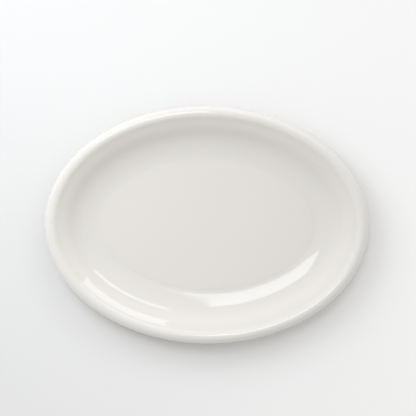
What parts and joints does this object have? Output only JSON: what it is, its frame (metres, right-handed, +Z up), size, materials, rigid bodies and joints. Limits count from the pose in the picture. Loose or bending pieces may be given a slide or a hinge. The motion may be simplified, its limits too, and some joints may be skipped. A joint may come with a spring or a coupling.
{
  "type": "oval serving platter",
  "caption": "Oval white china serving platter with a smooth rolled edge, a coved wall, a flat well and a bare foot ring.",
  "frame": {"origin": "on the table, under the middle of the platter", "axes": "+X along the platter's length, +Y across it, +Z up out of the well"},
  "size_m": [0.3, 0.22, 0.0271],
  "materials": {
    "bare_china": "fired, unglazed white china, fine-grained and matt, ground flat on the foot ring's bearing face",
    "white_glaze": "clear glossy glaze over warm white china"
  },
  "bodies": {
    "root": {"china_body": "bare_china", "face_glaze": "white_glaze", "base_glaze": "white_glaze"}
  },
  "joints": []
}
